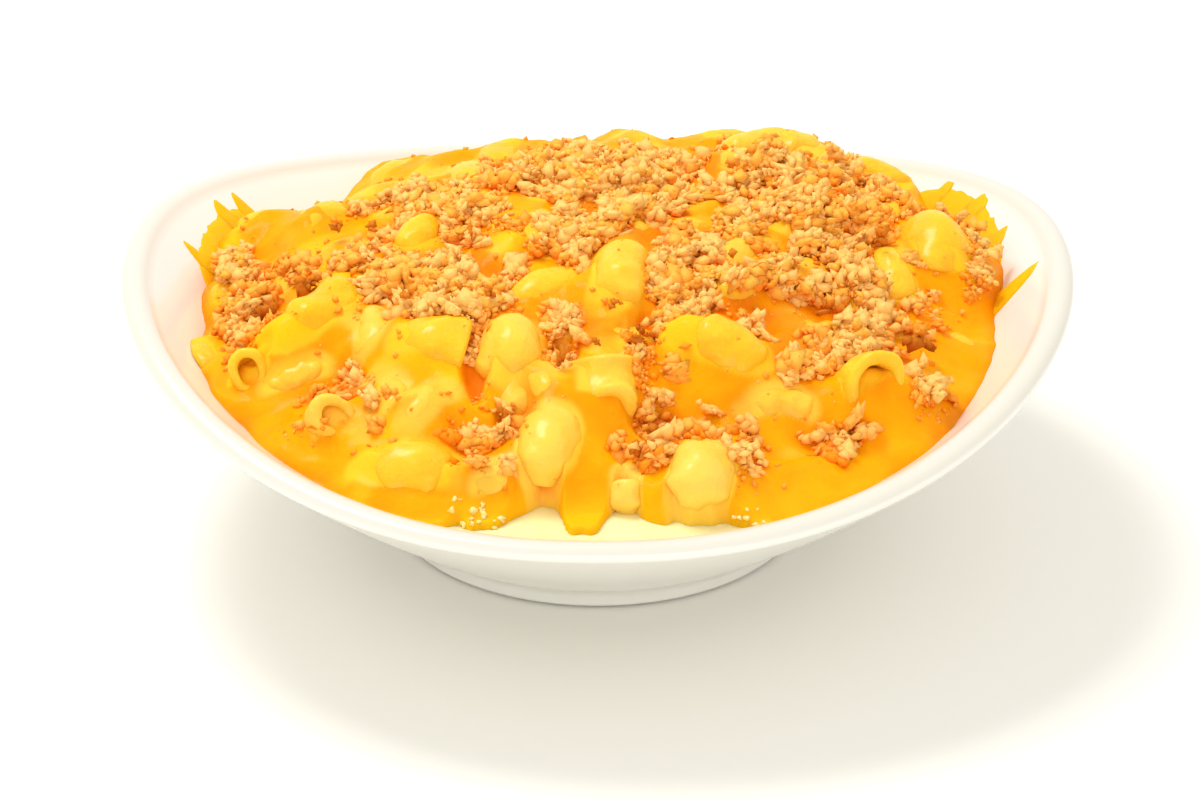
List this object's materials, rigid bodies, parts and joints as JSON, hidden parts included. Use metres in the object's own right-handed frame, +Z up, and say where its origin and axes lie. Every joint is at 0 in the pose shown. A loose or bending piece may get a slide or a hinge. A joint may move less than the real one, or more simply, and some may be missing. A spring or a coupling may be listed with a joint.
{
  "type": "bowl of macaroni and cheese",
  "caption": "Elbow macaroni baked in melted cheese with toasted breadcrumbs, heaped over cream sauce in a round white stoneware bowl with a saddle-shaped rim on a foot ring.",
  "frame": {"origin": "centre of the foot ring, on the surface that the bowl stands on", "axes": "+Z up; the dipped lips of the rim face -Y (front, where the cream sauce shows) and +Y; the raised ends of the rim lie along +X and -X"},
  "size_m": [0.2, 0.2, 0.0714],
  "materials": {
    "glazed_stoneware": "gloss",
    "cream_sauce": "satin",
    "macaroni_and_cheese": "satin"
  },
  "bodies": {
    "root": {"bowl": "glazed_stoneware", "cream_sauce": "cream_sauce", "macaroni_heap": "macaroni_and_cheese"}
  },
  "joints": []
}
